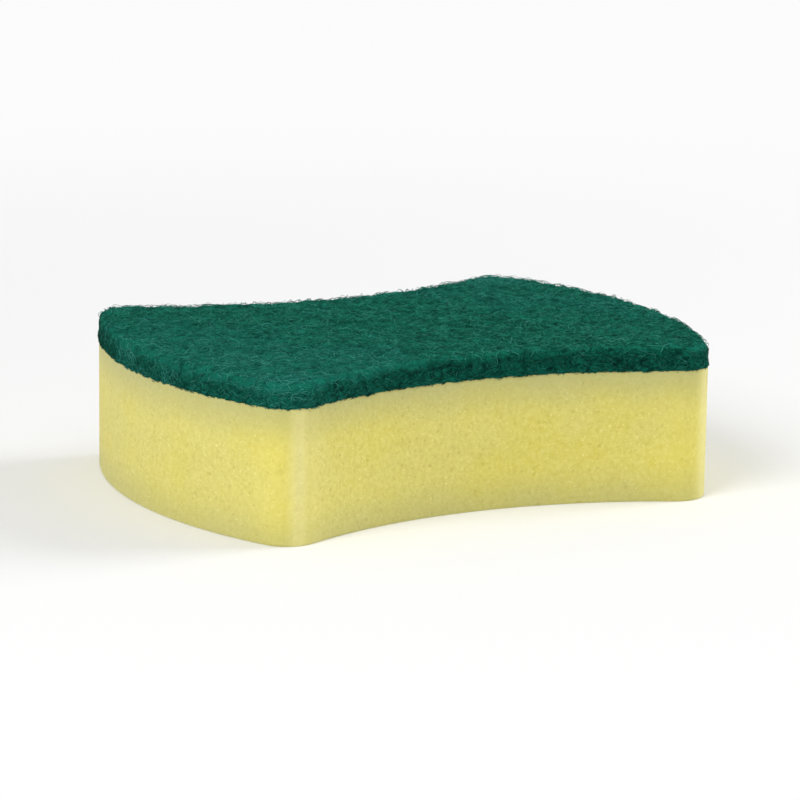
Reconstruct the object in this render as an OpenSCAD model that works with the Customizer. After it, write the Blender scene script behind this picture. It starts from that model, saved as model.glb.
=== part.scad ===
// Waisted cleaning sponge: a foam block with a scouring pad bonded on top of it.
// +Z is up and +X runs along the sponge. The origin is the middle of the foam's underside.

/* [Outline] */
// Distance along the sponge between its corners, before they are rounded
corner_span = 85; // [70:1:110]
// Distance across the sponge between its corners, before they are rounded
corner_width = 84; // [60:1:95]
// How far each long side curves in at the waist, where fingers grip
waist_dip = 11.5; // [4:0.5:16]
// How far each end curves out past its corners
end_bulge = 11; // [4:0.5:16]
// Radius that rounds each upright corner
corner_r = 6; // [3:0.5:8]

/* [Layers] */
// Height of the foam block
foam_h = 24.5; // [15:0.5:40]
// Thickness of the scouring pad
pad_h = 5; // [3:0.5:9]
// Radius of the soft roll round the pad's top edge
pad_rim_r = 2; // [0.5:0.25:2.5]

/* [Hidden] */

foam_yellow = [0.90, 0.85, 0.47];
pad_green = [0.05, 0.36, 0.30];

// Steps that each curve is drawn in
half_end_steps = 12;
waist_steps = 28;
corner_steps = 8;
rim_steps = 6;

// Each end is one arc about [end_cx, 0], through two corners and the end's furthest point.
half_span = corner_span / 2;
half_width = corner_width / 2;
end_r = (half_width ^ 2 + end_bulge ^ 2) / (2 * end_bulge);
end_cx = half_span + end_bulge - end_r;

// Each long side is one arc about [0, waist_cy], through two corners and the waist.
waist_r = (half_span ^ 2 + waist_dip ^ 2) / (2 * waist_dip);
waist_cy = half_width - waist_dip + waist_r;

// The corner's round touches the end arc from inside and the waist arc from outside,
// so its centre is where these two circles cross.
corner_c = circles_cross([end_cx, 0], end_r - corner_r, [0, waist_cy], waist_r + corner_r);
end_a = atan2(corner_c.y, corner_c.x - end_cx);
waist_a = atan2(corner_c.x, waist_cy - corner_c.y);

// Crossing point of circle r0 about p0 and circle r1 about p1, on the right of p0 to p1.
function circles_cross(p0, r0, p1, r1) =
    let (
        d = norm(p1 - p0),
        u = (p1 - p0) / d,
        along = (r0 ^ 2 - r1 ^ 2 + d ^ 2) / (2 * d),
        aside = sqrt(r0 ^ 2 - along ^ 2)
    )
    p0 + along * u + aside * [u.y, -u.x];

// Points of an arc about c, without its last one, where the next arc begins.
function arc(c, r, from, to, steps) =
    [for (i = [0 : steps - 1]) let (a = from + (to - from) * i / steps) c + r * [cos(a), sin(a)]];

// The sponge's edge from the middle of its right end, round the far side, to the left end.
function far_half(inset) = concat(
    arc([end_cx, 0], end_r - inset, 0, end_a, half_end_steps),
    arc(corner_c, corner_r - inset, end_a, 90 + waist_a, corner_steps),
    arc([0, waist_cy], waist_r + inset, 270 + waist_a, 270 - waist_a, waist_steps),
    arc([-corner_c.x, corner_c.y], corner_r - inset, 90 - waist_a, 180 - end_a, corner_steps),
    arc([-end_cx, 0], end_r - inset, 180 - end_a, 180, half_end_steps)
);

// The whole edge seen from above, an inset inside the true one. Half a turn maps it on itself.
function outline(inset = 0) = concat(far_half(inset), [for (p = far_half(inset)) -p]);

// Solid with the outline's plan, lofted through sections given as [height, inset].
module loft(sections) {
    n = len(outline());
    top = len(sections) - 1;
    // Strips from the far half to the near one, which is its mirror image, close each cap.
    strips = [for (i = [0 : n / 2 - 1]) [i, i + 1, n - i - 1, (n - i) % n]];
    walls = [
        for (k = [0 : top - 1], i = [0 : n - 1])
            let (j = (i + 1) % n)
            [k * n + i, (k + 1) * n + i, (k + 1) * n + j, k * n + j]
    ];
    polyhedron(
        points = [for (s = sections) for (p = outline(s[1])) [p.x, p.y, s[0]]],
        faces = concat(
            [for (q = strips) q],
            walls,
            [for (q = strips) [for (i = [3 : -1 : 0]) top * n + q[i]]]
        )
    );
}

// Open-cell foam, die-cut with upright walls.
module foam_block() {
    color(foam_yellow) linear_extrude(foam_h) polygon(outline());
}

// Stiff non-woven fibre pad, bonded all over the foam's top and cut to the same outline.
// Its wall is upright below, and rolls over into the flat scouring face.
module scouring_pad() {
    roll_z = pad_h - pad_rim_r;
    roll = [
        for (i = [0 : rim_steps])
            let (a = 90 * i / rim_steps)
            [roll_z + pad_rim_r * sin(a), pad_rim_r * (1 - cos(a))]
    ];
    color(pad_green) translate([0, 0, foam_h]) loft(concat([[0, 0]], roll));
}

foam_block();
scouring_pad();
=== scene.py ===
import math

import bpy
import numpy as np
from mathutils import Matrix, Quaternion, Vector, noise


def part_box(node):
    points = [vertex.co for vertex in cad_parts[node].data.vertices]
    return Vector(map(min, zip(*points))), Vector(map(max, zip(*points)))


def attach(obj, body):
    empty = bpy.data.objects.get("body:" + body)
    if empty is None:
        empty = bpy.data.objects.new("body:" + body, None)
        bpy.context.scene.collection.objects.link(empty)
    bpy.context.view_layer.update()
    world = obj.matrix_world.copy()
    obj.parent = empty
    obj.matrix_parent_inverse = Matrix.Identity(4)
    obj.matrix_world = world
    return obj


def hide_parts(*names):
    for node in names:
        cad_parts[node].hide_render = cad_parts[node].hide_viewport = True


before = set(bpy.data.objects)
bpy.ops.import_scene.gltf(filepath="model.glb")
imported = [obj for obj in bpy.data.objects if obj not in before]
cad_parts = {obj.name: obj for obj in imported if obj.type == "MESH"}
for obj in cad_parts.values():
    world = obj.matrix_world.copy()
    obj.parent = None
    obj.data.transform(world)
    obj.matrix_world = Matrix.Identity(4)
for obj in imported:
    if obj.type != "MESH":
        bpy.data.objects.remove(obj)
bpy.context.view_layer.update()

# Foam block. A block of pale yellow open-cell polyurethane foam that a die cuts from a slab, so
# its walls are upright and show cut cells all over. It stands on its underside, and the pad is
# bonded on its top.
corner_span = 0.085
corner_width = 0.084
waist_dip = 0.0115
end_bulge = 0.011
corner_r = 0.006
foam_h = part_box("foam_block")[1].z


def circles_cross(p0, r0, p1, r1):
    """Crossing point of two circles, on the right of the way from p0 to p1."""
    d = math.dist(p0, p1)
    u = ((p1[0] - p0[0]) / d, (p1[1] - p0[1]) / d)
    along = (r0**2 - r1**2 + d**2) / (2 * d)
    aside = math.sqrt(r0**2 - along**2)
    return p0[0] + along * u[0] + aside * u[1], p0[1] + along * u[1] - aside * u[0]


def walk(arcs, steps):
    """Rows of x, y and outward normal at even steps along arcs that join, without their last point.

    An arc is its centre, its radius, its two angles, and 1 if it bulges or -1 if it is hollow."""
    lengths = [r * abs(to - start) for _, r, start, to, _ in arcs]
    ends = np.cumsum([0] + lengths)
    rows = []
    for s in np.arange(steps) * ends[-1] / steps:
        k = min(int(np.searchsorted(ends, s, "right")) - 1, len(arcs) - 1)
        (cx, cy), r, start, to, side = arcs[k]
        a = start + (to - start) * (s - ends[k]) / lengths[k]
        rows.append((cx + r * math.cos(a), cy + r * math.sin(a), side * math.cos(a), side * math.sin(a)))
    return np.array(rows)


def sponge_outline(along, across):
    """Points of the sponge's edge, and their outward normals.

    They start in the middle of the far right corner, run along the far waist and go all the way
    round, with along steps on each waisted side and across steps on each end."""
    span, width = corner_span / 2, corner_width / 2
    end_r = (width**2 + end_bulge**2) / (2 * end_bulge)
    end_cx = span + end_bulge - end_r
    waist_r = (span**2 + waist_dip**2) / (2 * waist_dip)
    waist_cy = width - waist_dip + waist_r
    cx, cy = circles_cross((end_cx, 0), end_r - corner_r, (0, waist_cy), waist_r + corner_r)
    end_a = math.atan2(cy, cx - end_cx)
    waist_a = math.atan2(cx, waist_cy - cy)
    mid_a = (end_a + math.pi / 2 + waist_a) / 2
    waist_side = [
        ((cx, cy), corner_r, mid_a, math.pi / 2 + waist_a, 1),
        ((0, waist_cy), waist_r, 1.5 * math.pi + waist_a, 1.5 * math.pi - waist_a, -1),
        ((-cx, cy), corner_r, math.pi / 2 - waist_a, math.pi - mid_a, 1),
    ]
    end_side = [
        ((-cx, cy), corner_r, math.pi - mid_a, math.pi - end_a, 1),
        ((-end_cx, 0), end_r, math.pi - end_a, math.pi + end_a, 1),
        ((-cx, -cy), corner_r, math.pi + end_a, math.pi + mid_a, 1),
    ]
    half = np.vstack([walk(waist_side, along), walk(end_side, across)])
    whole = np.vstack([half, -half])
    return whole[:, :2], whole[:, 2:]


def corner_steps(along, across):
    """Where the middles of the four corners are in such an outline."""
    return [0, along, along + across, 2 * along + across]


def sides(ring, along, across):
    """The far, left, near and right side of a ring, each from left to right or from near to far."""
    far = ring[: along + 1][::-1]
    left = ring[along : along + across + 1][::-1]
    near = ring[along + across : 2 * along + across + 1]
    right = np.concatenate([ring[2 * along + across :], ring[:1]])
    return far, left, near, right


def filled(edge, along, across):
    """Rows of points that fill a closed edge, from its near side to its far one, edge included."""
    far, left, near, right = sides(edge, along, across)
    u = np.linspace(0, 1, along + 1)[None, :, None]
    v = np.linspace(0, 1, across + 1)[:, None, None]
    from_sides = (1 - v) * near[None] + v * far[None] + (1 - u) * left[:, None] + u * right[:, None]
    from_corners = (1 - v) * ((1 - u) * near[0] + u * near[-1]) + v * ((1 - u) * far[0] + u * far[-1])
    return from_sides - from_corners


class Shell:
    """Points and faces of a closed shell, gathered ring by ring."""

    def __init__(self):
        self.points = []
        self.faces = []
        self.count = 0

    def add(self, xy, z):
        """Adds points, and gives their numbers."""
        xyz = np.column_stack([xy, np.broadcast_to(z, len(xy))])
        self.points.append(xyz)
        self.count += len(xyz)
        return np.arange(self.count - len(xyz), self.count)

    def wall(self, low, high):
        """Joins two rings by quads that face outwards where the rings run anticlockwise."""
        quads = np.column_stack([low, np.roll(low, -1), np.roll(high, -1), high])
        self.faces.extend(quads.tolist())

    def stack(self, xy, out, sections):
        """Adds a ring for each inset and height, with a wall from each to the next."""
        rings = [self.add(xy - inset * out, z) for inset, z in sections]
        for low, high in zip(rings, rings[1:]):
            self.wall(low, high)
        return rings

    def halve(self, ring, coarse):
        """Adds faces that look down, from a ring to one inside it that has half as many points."""
        first, middle, last = ring[0::2], ring[1::2], np.roll(ring, -2)[0::2]
        rows = np.column_stack([coarse, np.roll(coarse, -1), last, middle, first])
        self.faces.extend(rows.tolist())

    def cap(self, ring, xy, z, along, across, up):
        """Fills a ring with a level grid whose border is the ring."""
        grid = np.full((across + 1, along + 1), -1)
        grid[-1, :], grid[:, 0], grid[0, :], grid[:, -1] = sides(ring, along, across)
        inner = filled(xy, along, across)[1:-1, 1:-1].reshape(-1, 2)
        grid[1:-1, 1:-1] = self.add(inner, z).reshape(across - 1, along - 1)
        quads = np.stack([grid[:-1, :-1], grid[:-1, 1:], grid[1:, 1:], grid[1:, :-1]], -1)
        quads = quads.reshape(-1, 4)
        self.faces.extend((quads if up else quads[:, ::-1]).tolist())

    def piece(self, name):
        """The shell as an object at the origin."""
        mesh = bpy.data.meshes.new(name)
        mesh.from_pydata(np.vstack(self.points).tolist(), [], self.faces)
        mesh.validate()
        mesh.shade_smooth()
        made = bpy.data.objects.new(name, mesh)
        bpy.context.scene.collection.objects.link(made)
        return made


# The wall's grid is fine enough for the cut cells. Its lower edge is a small round, and its upper
# one is a lip that stands just above the glued face.
steps_along = 244
steps_across = 236
wall_step = 0.00036
foam_inset = 0.0001
foam_edge_r = 0.0004
foam_edge_turns = np.radians([0, 30, 60])
lip_z = foam_h + 0.0001
lip_inset = 0.0006
glued_inset = 0.0010
under_inset = 0.0013

edge_xy, edge_out = sponge_outline(steps_along, steps_across)
foam_sections = [
    (foam_inset + foam_edge_r * (1 - math.sin(a)), foam_edge_r * (1 - math.cos(a)))
    for a in foam_edge_turns
]
wall_rows = round((lip_z - foam_edge_r) / wall_step)
foam_sections += [(foam_inset, z) for z in np.linspace(foam_edge_r, lip_z, wall_rows + 1)]
foam_sections += [(lip_inset, lip_z), (glued_inset, foam_h)]

foam_shell = Shell()
foam_rings = foam_shell.stack(edge_xy, edge_out, foam_sections)
foam_shell.faces.append(foam_rings[-1].tolist())
under_xy = (edge_xy - under_inset * edge_out)[0::2]
under_ring = foam_shell.add(under_xy, 0.0)
foam_shell.halve(foam_rings[0], under_ring)
foam_shell.cap(under_ring, under_xy, 0.0, steps_along // 2, steps_across // 2, up=False)
foam = foam_shell.piece("foam_cells")


def write_attribute(piece, name, values):
    """Stores a number on each point of a piece, for its material or its tree to read."""
    attribute = piece.data.attributes.new(name, "FLOAT", "POINT")
    attribute.data.foreach_set("value", np.asarray(values, np.float32))


def eased(share):
    """A smooth step from 0 to 1."""
    share = np.clip(share, 0, 1)
    return share * share * (3 - 2 * share)


# Just past each corner a pale line runs down the wall, a painted highlight. The foam has painted light
# before it and is a little pale after it, also painted light.
line_past_corner = 0.0013
line_half_width = 0.0027
line_border = 0.0010
bright_reach = 0.0120
dull_reach = 0.0095

ring_steps = np.linalg.norm(np.roll(edge_xy, -1, axis=0) - edge_xy, axis=1)
ring_length = ring_steps.sum()
ring_at = np.cumsum(ring_steps) - ring_steps
line_at = ring_at[corner_steps(steps_along, steps_across)] + line_past_corner
past_lines = (ring_at[:, None] - line_at + ring_length / 2) % ring_length - ring_length / 2
past_line = past_lines[np.arange(len(past_lines)), np.abs(past_lines).argmin(axis=1)]
wall_masks = {
    "on_wall": np.ones(len(past_line)),
    "pale_line": eased(1 - np.abs(past_line) / line_half_width),
    "before_line": eased(-past_line / line_border) * eased(1 + past_line / bright_reach),
    "after_line": eased(past_line / line_border) * eased(1 - past_line / dull_reach),
}
for mask, round_ring in wall_masks.items():
    on_points = np.zeros(len(foam.data.vertices))
    on_points[: len(round_ring) * len(foam_sections)] = np.tile(round_ring, len(foam_sections))
    write_attribute(foam, mask, on_points)


class Wire:
    """What a node gives. Arithmetic on it adds Math nodes, and make adds any other node."""

    def __init__(self, socket):
        self.socket = socket

    @property
    def tree(self):
        """The node tree that it is in."""
        return self.socket.id_data

    @staticmethod
    def make(tree, kind, settings=None, values=None):
        """Adds a node, with its settings first and then the values or wires of its inputs."""
        node = tree.nodes.new(kind)
        for name, value in (settings or {}).items():
            if name == "stops":
                while len(node.color_ramp.elements) < len(value):
                    node.color_ramp.elements.new(0.5)
                for stop, (place, shade) in zip(node.color_ramp.elements, value):
                    stop.position = place
                    stop.color = shade
            else:
                setattr(node, name, value)
        for name, value in (values or {}).items():
            if isinstance(name, int):
                socket = node.inputs[name]
            else:
                socket = next(s for s in node.inputs if s.name == name and s.enabled)
            if isinstance(value, Wire):
                tree.links.new(value.socket, socket)
            else:
                socket.default_value = value
        return Wire(next((s for s in node.outputs if s.enabled), None))

    @staticmethod
    def calc(operation, *terms):
        """Adds a Math node."""
        tree = next(t.tree for t in terms if isinstance(t, Wire))
        return Wire.make(tree, "ShaderNodeMath", {"operation": operation}, dict(enumerate(terms)))

    @staticmethod
    def vector(operation, *terms, scale=None):
        """Adds a Vector Math node."""
        tree = next(t.tree for t in terms if isinstance(t, Wire))
        values = dict(enumerate(terms))
        if scale is not None:
            values["Scale"] = scale
        return Wire.make(tree, "ShaderNodeVectorMath", {"operation": operation}, values)

    def out(self, name):
        """Another output of the same node."""
        return Wire(next(s for s in self.socket.node.outputs if s.name == name and s.enabled))

    def __add__(self, other):
        return Wire.calc("ADD", self, other)

    def __sub__(self, other):
        return Wire.calc("SUBTRACT", self, other)

    def __rsub__(self, other):
        return Wire.calc("SUBTRACT", other, self)

    def __mul__(self, other):
        return Wire.calc("MULTIPLY", self, other)

    def __truediv__(self, other):
        return Wire.calc("DIVIDE", self, other)

    def __rtruediv__(self, other):
        return Wire.calc("DIVIDE", other, self)

    def __pow__(self, other):
        return Wire.calc("POWER", self, other)

    def __abs__(self):
        return Wire.calc("ABSOLUTE", self)

    __radd__ = __add__
    __rmul__ = __mul__

    def step(self, low, high):
        """0 below low, 1 above high and smooth between them. low may be the higher."""
        return Wire.make(
            self.tree,
            "ShaderNodeMapRange",
            {"interpolation_type": "SMOOTHSTEP"},
            {"Value": self, "From Min": low, "From Max": high},
        )

    def blend(self, base, other):
        """A colour mix, from base where this is 0 to other where it is 1."""
        return Wire.make(
            self.tree,
            "ShaderNodeMix",
            {"data_type": "RGBA"},
            {"Factor": self, "A": base, "B": other},
        )


def colour(red, green, blue):
    """A screen colour, each part from 0 to 255, as a shader wants it."""
    parts = [c / 255 for c in (red, green, blue)]
    return (*(c / 12.92 if c <= 0.04045 else ((c + 0.055) / 1.055) ** 2.4 for c in parts), 1)


def cleared(owner):
    """The node tree of a material or a world, with nothing in it."""
    owner.use_nodes = True
    owner.node_tree.nodes.clear()
    return owner.node_tree


def read_mask(tree, name):
    """A number that a piece carries, read in its material."""
    return Wire.make(tree, "ShaderNodeAttribute", {"attribute_name": name}).out("Fac")


def height_of(at):
    """The upward part of a place or a direction."""
    return Wire.make(at.tree, "ShaderNodeSeparateXYZ", None, {"Vector": at}).out("Z")


def cells(at, size, feature="F1"):
    """How far a place is from the middle of its cell, or from the cell's edge, as a share of size.

    The cells are about that size in metres."""
    return Wire.make(
        at.tree, "ShaderNodeTexVoronoi", {"feature": feature}, {"Vector": at, "Scale": 1 / size}
    )


def luck_of(cell):
    """A random number for each cell, in a material or in Geometry Nodes."""
    kind = "ShaderNodeSeparateColor" if cell.tree.type == "SHADER" else "FunctionNodeSeparateColor"
    return Wire.make(cell.tree, kind, None, {"Color": cell.out("Color")})


def clouds(at, size, detail, rough=0.5):
    """Soft noise whose blobs are about that size in metres."""
    return Wire.make(
        at.tree,
        "ShaderNodeTexNoise",
        None,
        {"Vector": at, "Scale": 1 / size, "Detail": detail, "Roughness": rough},
    )


def bumped(relief, strength, depth):
    """A surface's normal, with that relief on it."""
    values = {"Height": relief, "Strength": strength, "Distance": depth}
    return Wire.make(relief.tree, "ShaderNodeBump", None, values)


def end_material(tree, values):
    """Ends a material in a Principled shader."""
    skin = Wire.make(tree, "ShaderNodeBsdfPrincipled", None, values)
    Wire.make(tree, "ShaderNodeOutputMaterial", None, {"Surface": skin})


# Cut foam, from its finest grain to its widest patches. Painted shade turns it greyer towards its rims,
# under the pad and along the bottom.
foam_grain = 0.00036
foam_cell = 0.00085
foam_speckle = 0.0009
foam_pore = 0.0016
foam_patch = 0.016
foam_relief = 0.00018
rim_reach = 0.0085
rim_beyond = 0.0015

foam_main = colour(221, 211, 110)
foam_warm = colour(221, 211, 117)
foam_rich = colour(223, 211, 101)
# This dark yellow is painted shade for the foam's pits, hollows and pores.
foam_pit_shade = colour(188, 172, 78)
# This pale colour paints the paler cell walls and also painted glints of light.
foam_strut_and_glint = colour(246, 239, 164)
# These three colours paint the highlight and the light at the foam's corners.
foam_highlight = colour(246, 237, 168)
foam_lit = colour(240, 227, 112)
foam_lit_pale = colour(244, 232, 148)
# This grey is painted shade for the foam's top and bottom rims.
foam_rim_shade = colour(174, 175, 127)
foam_sheen = colour(255, 250, 225)

foam_stuff = bpy.data.materials.new("foam_cut_cells")
tree = cleared(foam_stuff)
at = Wire.make(tree, "ShaderNodeTexCoord").out("Object")
height = height_of(at)
pit = read_mask(tree, "pit")
on_wall = read_mask(tree, "on_wall")
on_highlight = read_mask(tree, "pale_line")
before_line = read_mask(tree, "before_line")
after_line = read_mask(tree, "after_line")

cell = cells(at, foam_cell)
hollow = cell.step(0.70, 0.10) * luck_of(cell).step(0.35, 1.0)
pore = cells(at, foam_pore)
pore_luck = luck_of(pore)
open_pore = pore.step(0.26, 0.12) * pore_luck.step(0.50, 0.80)
glint_speck = pore.step(0.20, 0.08) * pore_luck.step(0.30, 0.10)
grain = cells(at, foam_grain)
glint = luck_of(grain).step(0.84, 0.96) * grain.step(0.50, 0.20)
patch = clouds(at, foam_patch, 2.0).step(0.38, 0.62)
speckle = clouds(at, foam_speckle, 3.0, rough=0.8).step(0.32, 0.68)

tone = (speckle * 0.5).blend(patch.blend(foam_warm, foam_rich), foam_main)
# Painted shade darkens the bump's hollows where the grain is low.
tone = ((1 - speckle) * (0.12 + 0.30 * hollow)).blend(tone, foam_pit_shade)
tone = (speckle * 0.22).blend(tone, foam_strut_and_glint)
# Painted glints: small light specks on the grain and beside the pores.
tone = (glint * 0.7).blend(tone, foam_strut_and_glint)
tone = (glint_speck * 0.5).blend(tone, foam_strut_and_glint)
# Painted shade in the pits that the open_cells tree sinks, and in the open pores.
tone = (pit * 0.5 + open_pore * 0.34).blend(tone, foam_pit_shade)
# Painted light before each corner's line, a painted highlight along it, and paler painted light after it.
tone = (before_line * 0.38).blend(tone, foam_lit)
tone = (after_line * 0.36).blend(tone, foam_lit_pale)
tone = (on_highlight * 0.52).blend(tone, foam_highlight)
# Painted shade: greyer and darker under the pad and along the bottom, less on the highlight line.
low_rim_shade = height.step(rim_reach, -rim_beyond) * 0.48
high_rim_shade = height.step(foam_h - rim_reach, foam_h + rim_beyond) * 0.68
rim_shade = (low_rim_shade + high_rim_shade) * on_wall * (1 - 0.5 * on_highlight) * (1 - 0.25 * after_line)
tone = rim_shade.blend(tone, foam_rim_shade)
relief = speckle * 0.6 + grain * 0.4 - hollow * 0.8 - open_pore * 0.5
end_material(
    tree,
    {
        "Base Color": tone,
        "Normal": bumped(relief, 0.45, foam_relief),
        "Roughness": 1.0,
        "Specular IOR Level": 0.08,
        "Subsurface Weight": 0.12,
        "Subsurface Radius": (1.0, 0.85, 0.4),
        "Subsurface Scale": 0.001,
        "Sheen Weight": 0.25,
        "Sheen Roughness": 0.5,
        "Sheen Tint": foam_sheen,
    },
)


def start_tree(name, inputs):
    """An empty Geometry Nodes tree and the wires of its named inputs."""
    tree = bpy.data.node_groups.new(name, "GeometryNodeTree")
    tree.interface.new_socket("Piece", in_out="OUTPUT", socket_type="NodeSocketGeometry")
    tree.interface.new_socket("Surface", in_out="INPUT", socket_type="NodeSocketGeometry")
    for label, kind in inputs.items():
        tree.interface.new_socket(label, in_out="INPUT", socket_type="NodeSocket" + kind)
    given = tree.nodes.new("NodeGroupInput")
    return tree, {s.name: Wire(s) for s in given.outputs if s.name}


def stored(geometry, name, value):
    """Geometry whose points carry a number, for its material or its tree to read."""
    return Wire.make(
        geometry.tree,
        "GeometryNodeStoreNamedAttribute",
        {"data_type": "FLOAT", "domain": "POINT"},
        {"Geometry": geometry, "Name": name, "Value": value},
    )


def pushed(surface, distance):
    """A surface moved along its own normals."""
    normal = Wire.make(surface.tree, "GeometryNodeInputNormal")
    offset = Wire.vector("SCALE", normal, scale=distance)
    values = {"Geometry": surface, "Offset": offset}
    return Wire.make(surface.tree, "GeometryNodeSetPosition", None, values)


def end_tree(made, material):
    """Ends a tree in Realize Instances and Set Material."""
    tree = made.tree
    made = Wire.make(tree, "GeometryNodeSetShadeSmooth", None, {"Geometry": made})
    made = Wire.make(tree, "GeometryNodeRealizeInstances", None, {"Geometry": made})
    made = Wire.make(tree, "GeometryNodeSetMaterial", None, {"Geometry": made, "Material": material})
    tree.links.new(made.socket, tree.nodes.new("NodeGroupOutput").inputs[0])


def run_tree(piece, tree, values):
    """Sets a tree's inputs on a piece, runs it and leaves its result as a plain mesh."""
    modifier = piece.modifiers.new(tree.name, "NODES")
    modifier.node_group = tree
    for item in tree.interface.items_tree:
        if item.in_out == "INPUT" and item.name in values:
            modifier[item.identifier] = values[item.name]
    graph = bpy.context.evaluated_depsgraph_get()
    made = bpy.data.meshes.new_from_object(
        piece.evaluated_get(graph), preserve_all_data_layers=True, depsgraph=graph
    )
    piece.modifiers.remove(modifier)
    old = piece.data
    piece.data = made
    made.name = piece.name
    bpy.data.meshes.remove(old)


# Every cut cell is a small bowl, each of its own depth. Now and then a blown cell is a deeper one.
open_cells, put = start_tree(
    "open_cells",
    {
        "Cell": "Float",
        "Depth": "Float",
        "Blown cell": "Float",
        "Blown depth": "Float",
        "Finish": "Material",
    },
)
here = Wire.make(open_cells, "GeometryNodeInputPosition")
cell_walls = cells(here, put["Cell"], "DISTANCE_TO_EDGE")
cell_luck = luck_of(cells(here, put["Cell"]))
bowl = cell_walls.step(0.03, 0.38) * (0.25 + 0.75 * cell_luck**2)
blown = cells(here, put["Blown cell"])
hole = blown.step(0.14, 0.02) * luck_of(blown).step(0.72, 0.80)
above_underside = height_of(here).step(0.0, 0.001)
sink = (bowl * put["Depth"] + hole * put["Blown depth"]) * above_underside
pitted = stored(put["Surface"], "pit", bowl * 0.3 + hole)
end_tree(pushed(pitted, 0 - sink), put["Finish"])
run_tree(
    foam,
    open_cells,
    {"Cell": 0.0010, "Depth": 0.00013, "Blown cell": 0.007, "Blown depth": 0.0003, "Finish": foam_stuff},
)
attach(foam, "root")
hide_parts("foam_block")

# Scouring pad's web. A stiff pad of crimped nylon fibres, laid at random, bonded with green resin
# and cut by the same die as the foam. Its lower edge is ragged where it sinks into the glued foam,
# and its top edge is rolled over.
pad_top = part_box("scouring_pad")[1].z
pad_along = 140
pad_across = 132
pad_rim_r = 0.0013
pad_rim_turns = np.radians([15, 30, 45, 60, 75, 90])
pad_wall_rings = 9
web_top = pad_top - 0.00055
web_inset = 0.0003

# The pad's underside lies in the foam's glued face. Its ragged edge laps over the foam's lip.
sunk_inset = 0.0010
sunk_z = foam_h - 0.0002
lap_inset = 0.0001
lap_rise = 0.0001
ragged_rise = 0.0002

# Waves of the ragged edge: their height, how many there are in a metre, and a level of the noise.
ragged_waves = [(0.00024, 420, 0.0), (0.00028, 1100, 0.01)]


def ragged(x, y):
    """How much the pad's lower edge rises or falls there."""
    return sum(
        wave_h * noise.noise(Vector((x, y, noise_z)) * in_a_metre)
        for wave_h, in_a_metre, noise_z in ragged_waves
    )


pad_xy, pad_out = sponge_outline(pad_along, pad_across)
pad_ragged = np.array([ragged(x, y) for x, y in pad_xy])
pad_wall_h = web_top - foam_h - pad_rim_r
pad_sections = [(sunk_inset, sunk_z), (lap_inset, foam_h + pad_ragged + lap_rise)]
for z in np.linspace(0, pad_wall_h, pad_wall_rings):
    fade = 1 - z / pad_wall_h
    pad_sections.append((web_inset * (1 - fade**3), foam_h + z + (pad_ragged + ragged_rise) * fade))
for a in pad_rim_turns:
    rim_inset = web_inset + pad_rim_r * (1 - math.cos(a))
    pad_sections.append((rim_inset, web_top - pad_rim_r * (1 - math.sin(a))))
up_shares = [-1.0, 0.0] + [0.0] * pad_wall_rings + [math.sin(a) for a in pad_rim_turns]

pad_shell = Shell()
pad_rings = pad_shell.stack(pad_xy, pad_out, pad_sections)
pad_shell.faces.append(pad_rings[0][::-1].tolist())
face_xy = pad_xy - (web_inset + pad_rim_r) * pad_out
pad_shell.cap(pad_rings[-1], face_xy, web_top, pad_along, pad_across, up=True)
web = pad_shell.piece("scouring_pad_web")
faces_up = np.ones(len(web.data.vertices))
faces_up[: len(pad_xy) * len(up_shares)] = np.repeat(up_shares, len(pad_xy))
write_attribute(web, "faces_up", faces_up)

# Where the web is loose and pale, from 0 to 1. It is worn loose at its corners.
broad_patches_in_a_metre = 17
small_patches_in_a_metre = 75
patch_shift = Vector((7.4, 10.1, 14.5))
worn_corner_r = 0.007
corner_xy = pad_xy[corner_steps(pad_along, pad_across)]


def looseness(place):
    """How loose the web is there, in broad patches, small ones and the four corners."""
    broad = 0.35 + 0.6 * noise.noise(place * broad_patches_in_a_metre + patch_shift)
    small = 0.35 * noise.noise(place * small_patches_in_a_metre)
    from_corner = min(math.dist(place.xy, c) for c in corner_xy)
    return broad + small + 0.50 * math.exp(-((from_corner / worn_corner_r) ** 2))


write_attribute(web, "loose", np.clip([looseness(v.co) for v in web.data.vertices], 0, 1))

# These two dark greens are painted shade: in the holes between fibres and low on the cut edge.
fibre_hole_shade = colour(2, 36, 30)
fibre_shade = colour(2, 46, 36)
web_low = colour(10, 84, 68)
web_high = colour(18, 100, 81)
web_loose = colour(34, 130, 114)
web_lump = 0.0020
web_hole = 0.0012
web_swirl = 0.004
web_swirl_reach = 0.004
web_relief = 0.00015
fibres_rise = 0.0003
edge_wave = 0.004
edge_wave_h = 0.0030
dark_below = 0.0012
dark_further = 0.0036


def edge_shade_depth(at, loose, up):
    """Painted shade on the pad's cut edge, with the dark of its open web: 1 deep in the edge, next to the
    foam, and 0 on its face. A loose edge is less dense near its top, so it turns dark further down."""
    wave = (clouds(at, edge_wave, 3.0) - 0.5) * edge_wave_h
    below_top = pad_top + fibres_rise - height_of(at) + wave
    return (below_top / (dark_below + dark_further * loose)).step(0.0, 1.0) * up.step(1.0, 0.7)


web_stuff = bpy.data.materials.new("resin_bonded_web")
tree = cleared(web_stuff)
at = Wire.make(tree, "ShaderNodeTexCoord").out("Object")
up = read_mask(tree, "faces_up")
loose = read_mask(tree, "loose")
swirl = Wire.vector("SUBTRACT", clouds(at, web_swirl, 1.0).out("Color"), (0.5, 0.5, 0.5))
bent = Wire.vector("ADD", at, Wire.vector("SCALE", swirl, scale=web_swirl_reach))


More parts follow.
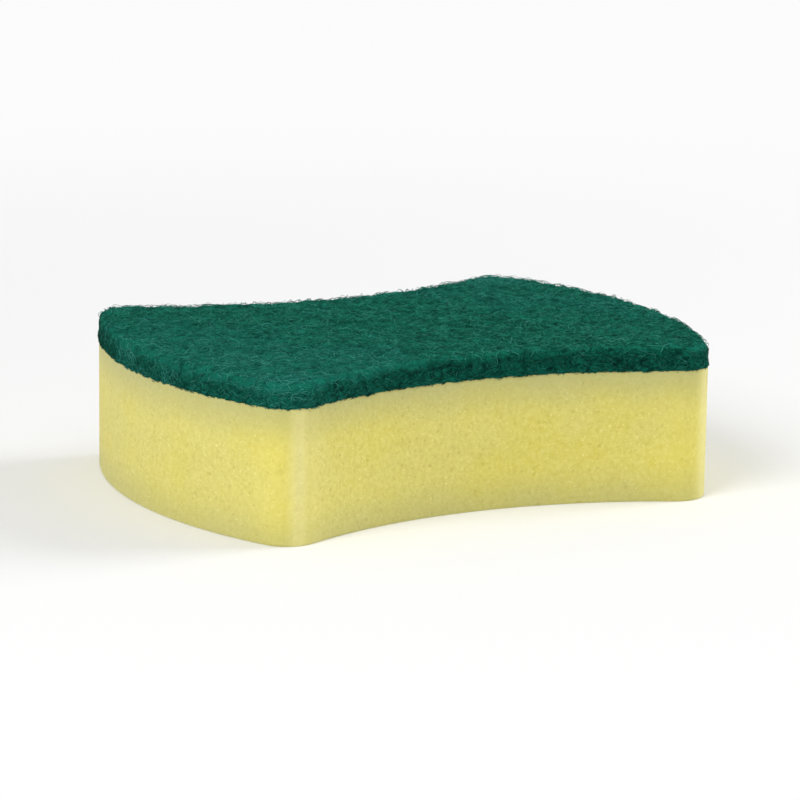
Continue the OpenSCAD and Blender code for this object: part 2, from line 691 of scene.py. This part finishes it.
def fibre_lines(turn, shift, gauge, reach):
    """Fibres laid level at one turn about Z, 1 along each and 0 between them."""
    turned = Wire.make(
        tree, "ShaderNodeVectorRotate", {"rotation_type": "Z_AXIS"}, {"Vector": bent, "Angle": turn}
    )
    stretched = Wire.vector("MULTIPLY", turned, (1 / reach, 1 / gauge, 1 / gauge))
    moved = Wire.vector("ADD", stretched, (shift, 0.0, 0.0))
    return abs(clouds(moved, 1.0, 0.0) - 0.5).step(0.13, 0.01)


lines = [
    (fibre_lines(0.35, 3.0, 0.00045, 0.0040), colour(12, 90, 72)),
    (fibre_lines(1.00, 17.0, 0.00038, 0.0032), colour(26, 118, 97)),
    (fibre_lines(1.60, 31.0, 0.00050, 0.0044), colour(16, 100, 81)),
    (fibre_lines(2.25, 43.0, 0.00036, 0.0030), colour(32, 128, 106)),
    (fibre_lines(2.90, 59.0, 0.00042, 0.0038), colour(22, 110, 90)),
]
lumps = clouds(at, web_lump, 3.0, rough=0.6).step(0.30, 0.70)
holes = clouds(at, web_hole, 2.0, rough=0.6).step(0.46, 0.34)
sunk_shade = edge_shade_depth(at, loose, up)
tone = lumps.blend(web_low, web_high)
tone = (loose * 0.4).blend(tone, web_loose)
# Painted shade low on the cut edge, next to the foam.
tone = (sunk_shade * 0.85).blend(tone, fibre_shade)
for line, line_tone in lines:
    tone = (line * (0.6 - 0.32 * sunk_shade)).blend(tone, line_tone)
# Painted shade in the holes between fibres, deeper on the cut edge.
tone = (holes * (0.2 + 0.5 * sunk_shade)).blend(tone, fibre_hole_shade)
tangle = sum((line for line, _ in lines[1:]), lines[0][0])
end_material(
    tree,
    {
        "Base Color": tone,
        "Normal": bumped(tangle * 0.4 + lumps, 0.5, web_relief),
        "Roughness": 1.0,
        "Specular IOR Level": 0.02,
    },
)


def carried(tree, name):
    """A number that a piece carries, read in Geometry Nodes."""
    return Wire.make(
        tree, "GeometryNodeInputNamedAttribute", {"data_type": "FLOAT"}, {"Name": name}
    )


# The web is lumpy, most of all on its face.
felt_lumps, put = start_tree("felt_lumps", {"Lump": "Float", "Height": "Float", "Finish": "Material"})
here = Wire.make(felt_lumps, "GeometryNodeInputPosition")
up = carried(felt_lumps, "faces_up")
rise = (clouds(here, put["Lump"], 3.0) - 0.5) * put["Height"] * (0.3 + 0.7 * up)
end_tree(pushed(put["Surface"], rise), put["Finish"])
run_tree(web, felt_lumps, {"Lump": 0.0026, "Height": 0.0012, "Finish": web_stuff})
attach(web, "root")
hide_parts("scouring_pad")

# Fibres of the pad's face. Crimped nylon fibres, each a few millimetres long where it surfaces,
# lie over one another on the web and dive back into it at both ends.
fibre_dark = colour(8, 72, 58)
fibre_mid = colour(26, 115, 91)
fibre_light = colour(56, 147, 123)
fibre_tip = colour(78, 156, 150)
fibre_loose = colour(42, 139, 129)
fibre_worn = colour(94, 176, 163)
fibre_mottle = 0.0018

fibre_stuff = bpy.data.materials.new("green_fibre")
tree = cleared(fibre_stuff)
at = Wire.make(tree, "ShaderNodeTexCoord").out("Object")
luck = read_mask(tree, "strand")
loose = read_mask(tree, "loose")
up = read_mask(tree, "faces_up")
mottle = clouds(at, fibre_mottle, 3.0, rough=0.55)
worn = loose.step(0.45, 0.95)
tone = Wire.make(
    tree,
    "ShaderNodeValToRGB",
    {"stops": [(0.0, fibre_dark), (0.5, fibre_mid), (0.92, fibre_light), (1.0, fibre_tip)]},
    {"Fac": luck},
)
tone = (loose * 0.5).blend(tone, fibre_loose)
# Painted shade in dark mottles that a random cloud lays, less at worn corners; paler mottles between them.
tone = (mottle.step(0.54, 0.34) * (0.48 - 0.33 * worn)).blend(tone, fibre_shade)
tone = (mottle.step(0.50, 0.68) * 0.45).blend(tone, fibre_light)
tone = (worn * luck.step(0.50, 0.95) * 0.45).blend(tone, fibre_worn)
# Painted shade low on the cut edge, less on pale fibres and at the worn corners.
sunk_shade = edge_shade_depth(at, loose, up) * (0.9 - 0.6 * luck**2) * (1 - 0.5 * worn**2)
tone = sunk_shade.blend(tone, fibre_shade)
end_material(tree, {"Base Color": tone, "Roughness": 0.9, "Specular IOR Level": 0.05})

lay_fibres, put = start_tree(
    "lay_fibres",
    {
        "Per square metre": "Float",
        "On face": "Float",
        "Length": "Float",
        "Thickness": "Float",
        "Bends": "Int",
        "Crimp": "Float",
        "Spread": "Float",
        "Lift": "Float",
        "Loop": "Float",
        "Loop length": "Float",
        "Dive": "Float",
        "Sag": "Float",
        "Seed": "Int",
        "Finish": "Material",
    },
)
off_face = abs(carried(lay_fibres, "faces_up") - put["On face"])
points = Wire.make(
    lay_fibres,
    "GeometryNodeDistributePointsOnFaces",
    None,
    {
        "Mesh": put["Surface"],
        "Selection": Wire.calc("LESS_THAN", off_face, 0.5),
        "Density": put["Per square metre"],
        "Seed": put["Seed"],
    },
)
normal = points.out("Normal")


def draw(low, high, more):
    """A random number for each fibre. What more adds to the seed keeps the draws apart."""
    return Wire.make(
        lay_fibres,
        "FunctionNodeRandomValue",
        {"data_type": "FLOAT"},
        {"Min": low, "Max": high, "Seed": put["Seed"] + more},
    )


# Each fibre starts as a straight line, level in the surface, turned by its share of Spread. Where
# the whole surface is level, it is turned from the X axis.
level = Wire.vector("CROSS_PRODUCT", (0.0, 0.0, 1.0), normal)
level = Wire.vector("ADD", level, (0.001, 0.0, 0.0))
laid = Wire.make(
    lay_fibres, "FunctionNodeAxesToRotation", None, {"Primary Axis": normal, "Secondary Axis": level}
)
swing = Wire.make(
    lay_fibres, "ShaderNodeCombineXYZ", None, {"Z": put["Spread"] * draw(-1.0, 1.0, 2)}
)
swing = Wire.make(lay_fibres, "FunctionNodeEulerToRotation", None, {"Euler": swing})
laid = Wire.make(
    lay_fibres,
    "FunctionNodeRotateRotation",
    {"rotation_space": "LOCAL"},
    {"Rotation": laid, "Rotate By": swing},
)
straight = Wire.make(
    lay_fibres,
    "GeometryNodeCurvePrimitiveLine",
    None,
    {"Start": (-0.5, 0.0, 0.0), "End": (0.5, 0.0, 0.0)},
)
straight = Wire.make(
    lay_fibres, "GeometryNodeResampleCurve", None, {"Curve": straight, "Count": put["Bends"]}
)
fibres = Wire.make(
    lay_fibres,
    "GeometryNodeInstanceOnPoints",
    None,
    {
        "Points": stored(points, "strand", draw(0.0, 1.0, 1)),
        "Instance": straight,
        "Rotation": laid,
        "Scale": put["Length"] * draw(0.5, 1.3, 3),
    },
)
fibres = Wire.make(lay_fibres, "GeometryNodeRealizeInstances", None, {"Geometry": fibres})
here = Wire.make(lay_fibres, "GeometryNodeInputPosition")
luck = carried(lay_fibres, "strand")


def own_clouds(own, size, detail):
    """Soft noise along a fibre, and another for each fibre, because own differs between them."""
    return Wire.make(
        lay_fibres,
        "ShaderNodeTexNoise",
        {"noise_dimensions": "4D"},
        {"Vector": here, "W": own, "Scale": 1 / size, "Detail": detail},
    )


def redrawn(factor):
    """Another random number for each fibre, worked out from its first one."""
    return Wire.calc("FRACT", luck * factor)


# Noise then crimps the fibre. It follows the surface, rises and falls in loops, and dives into it
# at both ends.
wander = own_clouds(luck * 900, put["Length"] * 0.6, 1.0)
crimp = Wire.vector("SUBTRACT", wander.out("Color"), (0.5, 0.5, 0.5))
crimped = Wire.vector("ADD", here, Wire.vector("SCALE", crimp, scale=put["Crimp"]))
on_surface = Wire.make(
    lay_fibres,
    "GeometryNodeProximity",
    {"target_element": "FACES"},
    {"Geometry": put["Surface"], "Sample Position": crimped},
)
away = Wire.make(
    lay_fibres,
    "GeometryNodeSampleNearestSurface",
    {"data_type": "FLOAT_VECTOR"},
    {
        "Mesh": put["Surface"],
        "Value": Wire.make(lay_fibres, "GeometryNodeInputNormal"),
        "Sample Position": crimped,
    },
)
along = Wire.make(lay_fibres, "GeometryNodeSplineParameter")
ends = abs(2 * along - 1) ** 4
loops = 2 * own_clouds(luck * 500 + 70, put["Loop length"], 0.0) - 1
rise = put["Lift"] * redrawn(7919.0) + put["Loop"] * loops - put["Dive"] * ends
sag = Wire.make(lay_fibres, "ShaderNodeCombineXYZ", None, {"Z": put["Sag"] * (0 - redrawn(613.0))})
path = Wire.vector("ADD", on_surface, Wire.vector("SCALE", away, scale=rise))
path = Wire.vector("ADD", path, sag)
fibres = Wire.make(lay_fibres, "GeometryNodeSetPosition", None, {"Geometry": fibres, "Position": path})
section = Wire.make(
    lay_fibres,
    "GeometryNodeCurvePrimitiveCircle",
    None,
    {"Resolution": 3, "Radius": put["Thickness"] * 0.5},
)
tubes = Wire.make(
    lay_fibres,
    "GeometryNodeCurveToMesh",
    None,
    {"Curve": fibres, "Profile Curve": section, "Fill Caps": True},
)
end_tree(tubes, put["Finish"])


def fibre_piece(name, values):
    """A piece of fibres laid on the web, which rides with it."""
    made = bpy.data.objects.new(name, web.data.copy())
    bpy.context.scene.collection.objects.link(made)
    run_tree(made, lay_fibres, {"Finish": fibre_stuff, **values})
    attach(made, "root")


# The pad's face has three layers of them, thinner and higher from one to the next.
face_fibre = {
    "Per square metre": 690e3,
    "On face": 1.0,
    "Length": 0.0034,
    "Bends": 7,
    "Crimp": 0.0045,
    "Spread": math.pi,
    "Loop": 0.0010,
    "Loop length": 0.0015,
    "Dive": 0.0003,
    "Sag": 0.0,
}
fibre_piece("scouring_pad_lower_fibres", {**face_fibre, "Thickness": 0.00013, "Lift": 0.0001, "Seed": 11})
fibre_piece("scouring_pad_middle_fibres", {**face_fibre, "Thickness": 0.00012, "Lift": 0.0002, "Seed": 23})
fibre_piece("scouring_pad_upper_fibres", {**face_fibre, "Thickness": 0.00008, "Lift": 0.0003, "Seed": 31})

# Fibres of the pad's cut edge. The die cuts the web's fibres short, so these are stubs that lie
# mostly level, stick out a little, and hang over the foam here and there.
edge_fibre = {
    "Per square metre": 4200e3,
    "On face": 0.0,
    "Length": 0.0018,
    "Thickness": 0.00011,
    "Bends": 5,
    "Crimp": 0.0022,
    "Spread": 0.9,
    "Lift": 0.00015,
    "Loop": 0.00026,
    "Loop length": 0.0012,
    "Dive": 0.0002,
    "Sag": 0.00015,
    "Seed": 37,
}
fibre_piece("scouring_pad_edge_fibres", edge_fibre)

# Floor. A plain white studio sweep, not part of the sponge. It is open under the sponge, so that
# the underside is lit when it is looked at from below.
floor_reach = 6.0
floor_z = -0.00002
floor_steps = 48
strip_width = 0.0012
sweep_white = (0.86, 0.86, 0.86, 1)
sweep_lift = 0.07
backdrop_white = 0.97

ring_xy, ring_out = sponge_outline(floor_steps, floor_steps)
angles = np.arctan2(ring_xy[:, 1], ring_xy[:, 0])
far_xy = floor_reach * np.column_stack([np.cos(angles), np.sin(angles)])


def floor_band(name, outer, inner):
    """A level ring of floor just under the sponge's underside, seen from above."""
    shell = Shell()
    shell.wall(shell.add(outer, floor_z), shell.add(inner, floor_z))
    band = shell.piece(name)
    return band


def seen_plainly(tree):
    """1 where the camera looks, straight or by way of gloss or glass, and 0 for all other light."""
    ray = Wire.make(tree, "ShaderNodeLightPath")
    bounced = Wire.calc("MAXIMUM", ray.out("Is Glossy Ray"), ray.out("Is Transmission Ray"))
    return Wire.calc("MAXIMUM", ray.out("Is Camera Ray"), bounced)


floor = floor_band("floor", far_xy, ring_xy)
floor_stuff = bpy.data.materials.new("white_sweep")
tree = cleared(floor_stuff)
seen = seen_plainly(tree)
at = Wire.make(tree, "ShaderNodeTexCoord").out("Object")
far_off = Wire.vector("LENGTH", at).out("Value").step(0.06, 0.5)
sweep = Wire.make(tree, "ShaderNodeBsdfDiffuse", None, {"Color": sweep_white})
lift = Wire.make(tree, "ShaderNodeEmission", None, {"Strength": seen * sweep_lift})
lifted = Wire.make(tree, "ShaderNodeAddShader", None, {0: sweep, 1: lift})
white = Wire.make(tree, "ShaderNodeEmission", None, {"Strength": backdrop_white})
upper = Wire.make(tree, "ShaderNodeMixShader", None, {0: far_off * seen, 1: lifted, 2: white})
clear = Wire.make(tree, "ShaderNodeBsdfTransparent")
behind = Wire.make(tree, "ShaderNodeNewGeometry").out("Backfacing")
shown = Wire.make(tree, "ShaderNodeMixShader", None, {0: behind, 1: upper, 2: clear})
Wire.make(tree, "ShaderNodeOutputMaterial", None, {"Surface": shown})
floor.data.materials.append(floor_stuff)

# The strip under the sponge's edge shows as floor, but lets light from below reach that edge.
strip = floor_band("floor_under_edge", ring_xy, ring_xy - strip_width * ring_out)
strip_stuff = bpy.data.materials.new("open_sweep")
tree = cleared(strip_stuff)
seen = Wire.make(tree, "ShaderNodeLightPath").out("Is Camera Ray")
sweep = Wire.make(tree, "ShaderNodeBsdfDiffuse", None, {"Color": sweep_white})
clear = Wire.make(tree, "ShaderNodeBsdfTransparent")
behind = Wire.make(tree, "ShaderNodeNewGeometry").out("Backfacing")
shown = Wire.make(tree, "ShaderNodeMixShader", None, {0: seen * (1 - behind), 1: clear, 2: sweep})
Wire.make(tree, "ShaderNodeOutputMaterial", None, {"Surface": shown})
strip.data.materials.append(strip_stuff)

# Light. A white room, and two large soft lamps in front of the sponge, left and right.
room_white = (1, 1, 1, 1)
room_light = 0.51
more_from_below = 0.34
lamp_side = 0.7
lamp_aim = Vector((0, 0, 0.015))

world = bpy.data.worlds.new("white_room")
bpy.context.scene.world = world
tree = cleared(world)
heading = Wire.make(tree, "ShaderNodeTexCoord").out("Generated")
below = height_of(heading).step(0.0, -0.05)
strength = room_light + more_from_below * below
room = Wire.make(tree, "ShaderNodeBackground", None, {"Color": room_white, "Strength": strength})
backdrop = Wire.make(tree, "ShaderNodeBackground", None, {"Color": room_white, "Strength": 1.0})
shown = Wire.make(tree, "ShaderNodeMixShader", None, {0: seen_plainly(tree), 1: room, 2: backdrop})
Wire.make(tree, "ShaderNodeOutputWorld", None, {"Surface": shown})


def soft_lamp(name, place, power):
    """A square lamp that faces the sponge."""
    lamp = bpy.data.objects.new(name, bpy.data.lights.new(name, "AREA"))
    lamp.data.energy = power
    lamp.data.size = lamp_side
    lamp.location = place
    lamp.rotation_mode = "QUATERNION"
    lamp.rotation_quaternion = (lamp_aim - Vector(place)).to_track_quat("-Z", "Y")
    bpy.context.scene.collection.objects.link(lamp)


soft_lamp("left_lamp", (-0.94, -0.46, 0.85), 9.3)
soft_lamp("right_lamp", (1.17, -0.25, 0.7), 9.8)

# Camera. It stands where the photograph's lens was, turned to the sponge and zoomed in.
camera_at = Vector((-0.3159, -0.5921, 0.1593))
camera_aim = Vector((0.0005, 0.0002, 0.0147))
camera_roll = Quaternion((0, 0, 1), 0.0143)
camera = bpy.data.objects.new("camera", bpy.data.cameras.new("camera"))
camera.data.lens = 164.3
camera.location = camera_at
camera.rotation_mode = "QUATERNION"
camera.rotation_quaternion = (camera_aim - camera_at).to_track_quat("-Z", "Y") @ camera_roll
bpy.context.scene.collection.objects.link(camera)
bpy.context.scene.camera = camera
bpy.context.scene.view_settings.view_transform = "Standard"
